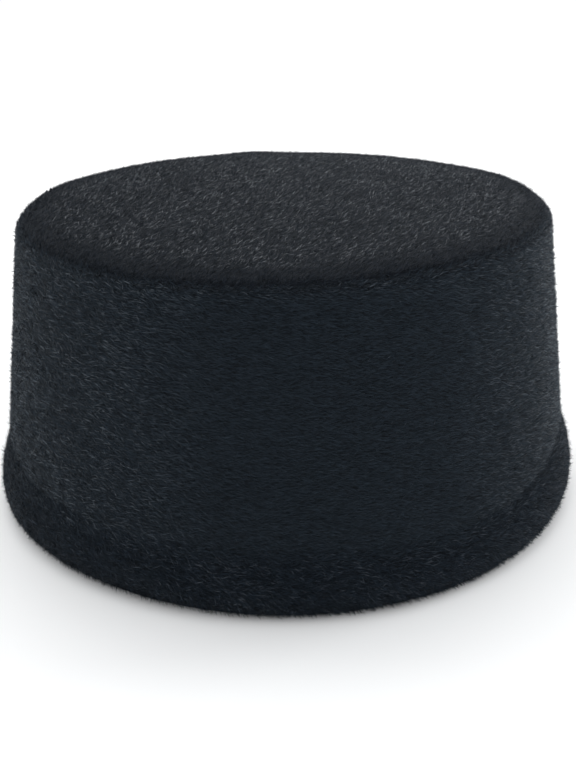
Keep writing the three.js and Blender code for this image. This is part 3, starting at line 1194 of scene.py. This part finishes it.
def cloth_piece(name, rings, strip_parts, pile_bed, closed=True, poles=(), flat=False):
    """A cloth swept through rings, with each strip between them pile bed (0) or woven back (1)."""
    mesh = ring_mesh(name, rings, closed, poles)
    map_cloth(mesh, flat)
    smooth(mesh)
    part_of_face = [part for part in strip_parts for _ in rings[0]]
    paint_parts(mesh, (pile_bed, backing_material()), part_of_face)
    return show(mesh, name)


def finish_piece(piece, nodes=()):
    """Puts a finished piece on its body and the solids that it stands for."""
    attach(piece, BODY)
    if nodes:
        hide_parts(*nodes)


def crown_rings(form):
    """Rings of the crown's outer face from its seam to its middle, and how far each is from the seam."""
    shape = form.shape
    depth = shape.crown_pile_depth
    rings = []
    distances = []
    for turn in np.linspace(shape.seam_turn, QUARTER, CROWN_SHOULDER_RINGS):
        away = form.shoulder_radius * (turn - shape.seam_turn)
        gap_side = 1 if turn == shape.seam_turn else 0
        rings.append(form.shoulder_ring(turn, depth + form.seam_sink(away, True), gap_side))
        distances.append(away)
    for portion in CROWN_PORTIONS:
        away = form.crown_shoulder + form.crown_reach * (1 - portion)
        rings.append(form.crown_ring(portion, depth + form.seam_sink(away, True)))
        distances.append(away)
    return rings, distances


def crown_cloth(form, outer, pile):
    """The crown's cloth, from the middle of its woven back round its edge to the middle of its pile side."""
    shape = form.shape
    inner = [form.crown_ring(portion, shape.plush_thickness) for portion in CROWN_UNDER_PORTIONS]
    inner.append(form.shoulder_ring(shape.seam_turn, shape.plush_thickness, 1))
    rings = inner + outer
    poles = (
        (form.crown_middle(shape.plush_thickness), 0, False),
        (form.crown_middle(shape.crown_pile_depth), len(rings) - 1, True),
    )
    strip_parts = [1] * len(inner) + [0] * (len(outer) - 1) + [1, 0]
    pile_bed = bed_material("Crown pile bed", pile)
    return cloth_piece("crown_cloth", rings, strip_parts, pile_bed, closed=False, poles=poles, flat=True)


def crown_bed(form, outer, distances, pile):
    """The face that the crown's pile grows on, with some pile past the seam."""
    shape = form.shape
    depth = shape.crown_pile_depth
    overlap = shape.seam_overlap
    nap = np.array([math.cos(pile.nap), math.sin(pile.nap), 0.0])
    naps = np.tile(nap, (len(form.azimuths), 1))
    bed = Bed()
    # Painted shade along the top seam: the crown's locks near it, and those past it, are darker and never
    # light.
    for away in (-overlap, -2 * overlap / 3, -overlap / 3):
        turn = shape.seam_turn + away / form.shoulder_radius
        ring = form.shoulder_ring(turn, depth + form.seam_sink(away, False))
        tone = painted_seam_shade(away, shape.crown_droop_width, SEAM_SHADE)
        bed.add(ring, naps, CROWN_OVERLAP_LENGTH, seam_cover(away, overlap), tone, ruffle=pile.ruffle)
    for ring, away in zip(outer, distances):
        near = math.exp(-((away / EDGE_WIDTH) ** 2))
        tone = painted_seam_shade(away, shape.crown_droop_width, SEAM_SHADE)
        outwards = 1 - away / (form.crown_shoulder + form.crown_reach)
        ruffle = pile.ruffle * near + pile.side_ruffle * outwards * np.clip(-np.cos(form.azimuths), 0, 1)
        bed.add(ring, naps, 1.0, seam_cover(away, overlap), tone, ruffle=ruffle, fringe=pile.fringe * near)
    bed.pole = form.crown_middle(depth)
    return bed


class CAP_OT_crown(Operator):
    """Make the plush crown with its turned-down edge and its pile"""

    bl_idname = "cap.crown"
    bl_label = "Make the crown"

    def execute(self, context):
        pile = context.scene.cap_crown_pile
        form = CapForm(context.scene.cap_shape, ring_azimuths())
        outer, distances = crown_rings(form)
        piece = crown_cloth(form, outer, pile)
        finish_piece(piece, ["crown_top"])

        bed = crown_bed(form, outer, distances, pile)
        left = np.cos(form.azimuths) > 0
        halves = (("left", left, pile.fibres // 2), ("right", ~left, pile.fibres // 2))
        look = pile_material("Crown pile", pile)
        grown_piles = grow_parts("crown", bed, halves, pile, look, CROWN_SEED)
        return {"FINISHED"}


def band_rings(form):
    """Rings of the band's outer face from the hem to the top seam, and how far each is from that seam."""
    shape = form.shape
    depth = shape.pile_depth
    drawn = BACK_SEAM_DIP * seam_closeness(form.azimuths, BACK_SEAM_WIDTH)
    rings = []
    distances = []
    for portion in BAND_PORTIONS:
        away = form.band_shoulder + form.wall_height * (1 - portion)
        sunk = form.hem_sink(form.wall_height * portion) + form.seam_sink(away, False)
        rings.append(drawn_in(form.band_ring(portion, depth + sunk), form, drawn))
        distances.append(away)
    for turn in np.linspace(0, shape.seam_turn, BAND_SHOULDER_RINGS)[1:]:
        away = form.shoulder_radius * (shape.seam_turn - turn)
        gap_side = -1 if turn == shape.seam_turn else 0
        rings.append(form.shoulder_ring(turn, depth + form.seam_sink(away, False), gap_side))
        distances.append(away)
    return rings, distances


def band_cloth(form, outer, pile):
    """The band's cloth, with its turned-in upper edge and its pressed-open back seam inside."""
    shape = form.shape
    thickness = shape.plush_thickness
    allowance = shape.seam_allowance
    at_back = np.abs(form.azimuths - BACK_SEAM_AZIMUTH) < PRESSED_OPEN_REACH
    pressed_open = shape.allowance_thickness * at_back
    inner = [form.shoulder_ring(shape.seam_turn, thickness, -1)]
    for drop in (0.0, ALLOWANCE_MIDDLE, allowance, allowance + ALLOWANCE_END):
        folded = shape.allowance_thickness * (drop <= allowance)
        ring = form.band_ring(1 - drop / form.wall_height, thickness)
        inner.append(drawn_in(ring, form, np.maximum(pressed_open, folded)))
    for portion in BAND_INNER_PORTIONS:
        inner.append(drawn_in(form.band_ring(portion, thickness), form, pressed_open))
    strip_parts = [0] * (len(outer) - 1) + [1] * (len(inner) + 1)
    return cloth_piece("band_cloth", outer + inner, strip_parts, bed_material("Band pile bed", pile))


def band_bed(form, outer, distances, pile):
    """The face that the band's pile grows on, with some pile over the hem and past the top seam."""
    shape = form.shape
    depth = shape.pile_depth
    overlap = shape.seam_overlap
    sideways = np.cos(form.azimuths) ** 2
    nap = nap_round(form, pile.nap, pile.nap_sway)
    about = brushed_back(form, shape.front_mingle)
    ruffle = pile.ruffle * sideways
    thinned = 1 - pile.side_thinning * sideways
    # Painted sheen: the front and back are kept plainer than the sides.
    calm = pile.front_less_painted_sheen * np.sin(form.azimuths - LEAST_PAINTED_SHEEN_TURN) ** 4
    bed = Bed()
    for part_over in (1.0, 0.75, 0.5, 0.25):
        away = shape.hem_overlap * part_over
        ring = form.hem_bulge_ring(1 - away / form.bulge_height, depth + form.hem_sink(away))
        bed.add(ring, nap, 1.0, (1 - part_over) * thinned, 1 - calm, about, OVERLAP_RUFFLE * ruffle)
    for ring, away in zip(outer, distances):
        length = BAND_EDGE_LENGTH if away < overlap else 1.0
        # Painted light just under the top seam, painted shade right at it.
        painted_light_here = 1 - calm * (1 - PAINTED_LIGHT_UNDER_SEAM * math.exp(-((away / PAINTED_LIGHT_UNDER_SEAM_WIDTH) ** 2)))
        tone = np.minimum(painted_seam_shade(away, RIM_WIDTH, RIM_SHADE), painted_light_here)
        more_ruffle = SEAM_RUFFLE * math.exp(-((away / SEAM_RUFFLE_WIDTH) ** 2))
        bed.add(ring, nap, length, seam_cover(away, overlap) * thinned, tone, about, ruffle + more_ruffle)
    # The band's locks past the top seam lie in painted shade.
    for away in (overlap / 3, 2 * overlap / 3, overlap):
        turn = shape.seam_turn + away / form.shoulder_radius
        ring = form.shoulder_ring(turn, depth + form.seam_sink(away, True))
        density = seam_cover(-away, overlap) * thinned
        bed.add(ring, nap, BAND_EDGE_LENGTH, density, 1 - RIM_SHADE, about, ruffle + SEAM_RUFFLE)
    return bed


class CAP_OT_band(Operator):
    """Make the plush side band with its back seam and its pile"""

    bl_idname = "cap.band"
    bl_label = "Make the side band"

    def execute(self, context):
        shape = context.scene.cap_shape
        pile = context.scene.cap_band_pile
        form = CapForm(shape, ring_azimuths())
        outer, distances = band_rings(form)
        piece = band_cloth(form, outer, pile)
        finish_piece(piece, ["side_band"])

        bed = band_bed(form, outer, distances, pile)
        front = np.sin(form.azimuths) < 0
        halves = (("front", front, pile.fibres_front), ("back", ~front, pile.fibres_back))
        look = pile_material("Band pile", pile)
        grown_piles = grow_parts("band", bed, halves, pile, look, BAND_SEED)
        return {"FINISHED"}


def hem_rings(form, room):
    """Rings of the hem's outer face from its seat up to the band, slimmer by the room for its filling."""
    shape = form.shape
    depth = shape.pile_depth
    seat_rise = shape.seat_rise * np.exp(-(((form.azimuths - SEAT_RISE_MOST) / SEAT_RISE_REACH) ** 2))
    rings = []
    for turn in np.linspace(0.0, QUARTER, HEM_UNDER_RINGS):
        rings.append(form.hem_under_ring(turn, depth + room + seat_rise * (1 - turn / QUARTER)))
    for portion in HEM_BULGE_PORTIONS:
        sunk = depth + form.hem_sink(form.bulge_height * (1 - portion)) + room * (portion < 1)
        rings.append(form.hem_bulge_ring(portion, sunk))
    return rings


def hem_inner_rings(form):
    """Rings of the hem's inner face from under the band down to its seat."""
    shape = form.shape
    inner_half_width = form.hem_half_width - form.hem_thickness
    inner_round = shape.hem_inner_round
    rings = [form.ring(shape.band_foot - shape.plush_thickness, form.hem_top, form.hem_push)]
    for drop, back in HEM_TOP_TURN:
        half_width = inner_half_width + shape.hem_inner_reach * back
        rings.append(form.ring(half_width, form.hem_top - drop * inner_round, form.hem_push))
    for portion in HEM_INNER_PORTIONS:
        rings.append(form.ring(inner_half_width, form.hem_top * portion, form.hem_push))
    rings.append(form.ring(inner_half_width, inner_round, form.hem_push))
    foot_turn = HEM_FOOT_TURN * inner_round
    rings.append(form.ring(inner_half_width + foot_turn, foot_turn, form.hem_push))
    rings.append(form.ring(inner_half_width + inner_round, 0.0, form.hem_push))
    return rings


def hem_bed(form, outer, pile):
    """The face that the hem's pile grows on, ruffled and turned down towards the seat."""
    shape = form.shape
    sideways = np.cos(form.azimuths) ** 2
    nap = nap_round(form, pile.nap, pile.nap_sway)
    about = brushed_back(form, shape.front_mingle)
    thinned = 1 - pile.side_thinning * sideways
    # Painted shade at the hem's sides.
    tone = 1 - pile.side_painted_shade * sideways
    bulge_count = len(HEM_BULGE_PORTIONS)
    under_rings = outer[1:-bulge_count]
    bed = Bed()
    for ring, low in zip(under_rings, np.linspace(1.0, 0.0, len(under_rings))):
        fringe_nap = nap - (form.outwards + nap) * pile.fringe_turn * low
        turned = about * (1 - low)
        bed.add(ring, fringe_nap, HEM_UNDER_LENGTH, 1.0, 1.0, turned, pile.ruffle * low, pile.fringe * low)
    for ring, portion in zip(outer[-bulge_count:], HEM_BULGE_PORTIONS):
        bare = (1 - HEM_SEAM_COVER) * form.bulge_height * (1 - portion) / shape.hem_overlap
        density = min(1.0, HEM_SEAM_COVER + bare)
        bed.add(ring, nap, 1.0, density * thinned, tone, about, pile.side_ruffle * sideways)
    return bed


class CAP_OT_hem(Operator):
    """Make the padded rolled hem and its longer pile"""

    bl_idname = "cap.hem"
    bl_label = "Make the rolled hem"

    def execute(self, context):
        pile = context.scene.cap_hem_pile
        filling = context.scene.cap_hem_fill
        form = CapForm(context.scene.cap_shape, ring_azimuths())
        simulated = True
        outer = hem_rings(form, filling.room if simulated else 0.0)
        rings = outer + hem_inner_rings(form)
        strip_parts = [0] * (len(outer) - 1) + [1] * (len(rings) - len(outer) + 1)
        piece = cloth_piece("hem_roll", rings, strip_parts, bed_material("Hem pile bed", pile))
        if simulated:
            count = len(form.azimuths)
            sewn_rings = (0, len(outer) - 1, len(outer), len(rings) - 1)
            held_points = np.concatenate([np.arange(count) + ring_index * count for ring_index in sewn_rings])
            stuff(piece, filling, held_points)
            outer = list(points_of(piece.data).reshape(len(rings), count, 3)[:len(outer)])
        finish_piece(piece, ["rolled_hem"])

        bed = hem_bed(form, outer, pile)
        look = pile_material("Hem pile", pile)
        grown = grow_pile("hem_pile", bed.mesh("hem_bed"), pile, pile.fibres, HEM_SEED, look)
        finish_piece(grown)
        return {"FINISHED"}


def aim_at(thing, place, target):
    """Points a lamp at a target."""
    thing.location = place
    thing.rotation_euler = (Vector(target) - Vector(place)).to_track_quat("-Z", "Y").to_euler()


class CAP_OT_stage(Operator):
    """Set up the camera, the pale floor and the soft lamps"""

    bl_idname = "cap.stage"
    bl_label = "Set the stage"

    def execute(self, context):
        look = context.scene.cap_stage
        form = CapForm(context.scene.cap_shape, ring_azimuths())
        lens = bpy.data.cameras.new("camera")
        lens.sensor_width = SENSOR_MM
        lens.lens = look.focal_px / PHOTO_HEIGHT_PX * SENSOR_MM
        lens.shift_x = (PHOTO_WIDTH_PX / 2 - look.centre_x_px) / PHOTO_HEIGHT_PX
        lens.shift_y = (look.centre_y_px - PHOTO_HEIGHT_PX / 2) / PHOTO_HEIGHT_PX
        lens.clip_start = VIEW_START
        lens.clip_end = VIEW_END
        camera = bpy.data.objects.new("camera", lens)
        context.scene.collection.objects.link(camera)
        tilt = look.camera_elevation
        back = Vector((0.0, -math.cos(tilt), math.sin(tilt)))
        up = Vector((0.0, math.sin(tilt), math.cos(tilt)))
        right = Vector((1.0, 0.0, 0.0))
        roll = look.camera_roll
        turned_right = right * math.cos(roll) + up * math.sin(roll)
        turned_up = -right * math.sin(roll) + up * math.cos(roll)
        aim = Vector((-form.centre[0], -form.centre[1], look.aim_height))
        facing = Matrix((turned_right, turned_up, back)).transposed().to_4x4()
        camera.matrix_world = Matrix.Translation(aim + back * look.camera_distance) @ facing
        context.scene.camera = camera

        mesh = bpy.data.meshes.new("floor")
        corners = [(FLOOR_REACH * x, FLOOR_REACH * y, 0) for x, y in ((-1, -1), (1, -1), (1, 1), (-1, 1))]
        mesh.from_pydata(corners, [], [(0, 1, 2, 3)])
        floor = show(mesh, "floor")
        material, tree = shader_tree("Floor")
        surface(tree, Base_Color=(*look.floor, 1.0), Roughness=FLOOR_ROUGHNESS, Specular_IOR_Level=0.0)
        mesh.materials.append(material)

        for name, place, width, height, power, tint in LAMPS:
            light = bpy.data.lights.new(name, "AREA")
            light.shape = "RECTANGLE"
            light.size = width
            light.size_y = height
            light.energy = power
            light.color = tint
            lamp = bpy.data.objects.new(name, light)
            context.scene.collection.objects.link(lamp)
            aim_at(lamp, place, (0.0, 0.0, look.aim_height))
        world = bpy.data.worlds.new("Studio")
        world.use_nodes = True
        sky = world.node_tree.nodes["Background"]
        sky.inputs["Color"].default_value = WORLD_COLOUR
        sky.inputs["Strength"].default_value = WORLD_STRENGTH
        context.scene.world = world
        context.scene.view_settings.view_transform = "Standard"
        return {"FINISHED"}


class CAP_PT_panel(Panel):
    """Lists the steps that build the cap"""

    bl_idname = "CAP_PT_panel"
    bl_label = "Prayer cap"
    bl_space_type = "VIEW_3D"
    bl_region_type = "UI"
    bl_category = "Cap"

    def draw(self, context):
        for operator in OPERATORS:
            self.layout.operator(operator.bl_idname)


OPERATORS = (CAP_OT_stage, CAP_OT_crown, CAP_OT_band, CAP_OT_hem)
GROUPS = {
    "cap_shape": CapShape,
    "cap_crown_pile": CrownPile,
    "cap_band_pile": BandPile,
    "cap_hem_pile": HemPile,
    "cap_hem_fill": HemFill,
    "cap_stage": StageLook,
}


def register():
    """Registers the sizes, the steps and the panel."""
    for name, group in GROUPS.items():
        bpy.utils.register_class(group)
        setattr(bpy.types.Scene, name, PointerProperty(type=group))
    for operator in OPERATORS:
        bpy.utils.register_class(operator)
    bpy.utils.register_class(CAP_PT_panel)


def unregister():
    """Takes the panel, the steps and the sizes away."""
    bpy.utils.unregister_class(CAP_PT_panel)
    for operator in reversed(OPERATORS):
        bpy.utils.unregister_class(operator)
    for name, group in GROUPS.items():
        delattr(bpy.types.Scene, name)
        bpy.utils.unregister_class(group)


def main():
    """Builds the whole cap."""
    register()
    bpy.ops.cap.stage()
    bpy.ops.cap.crown()
    bpy.ops.cap.band()
    bpy.ops.cap.hem()


if __name__ == "__main__":
    main()
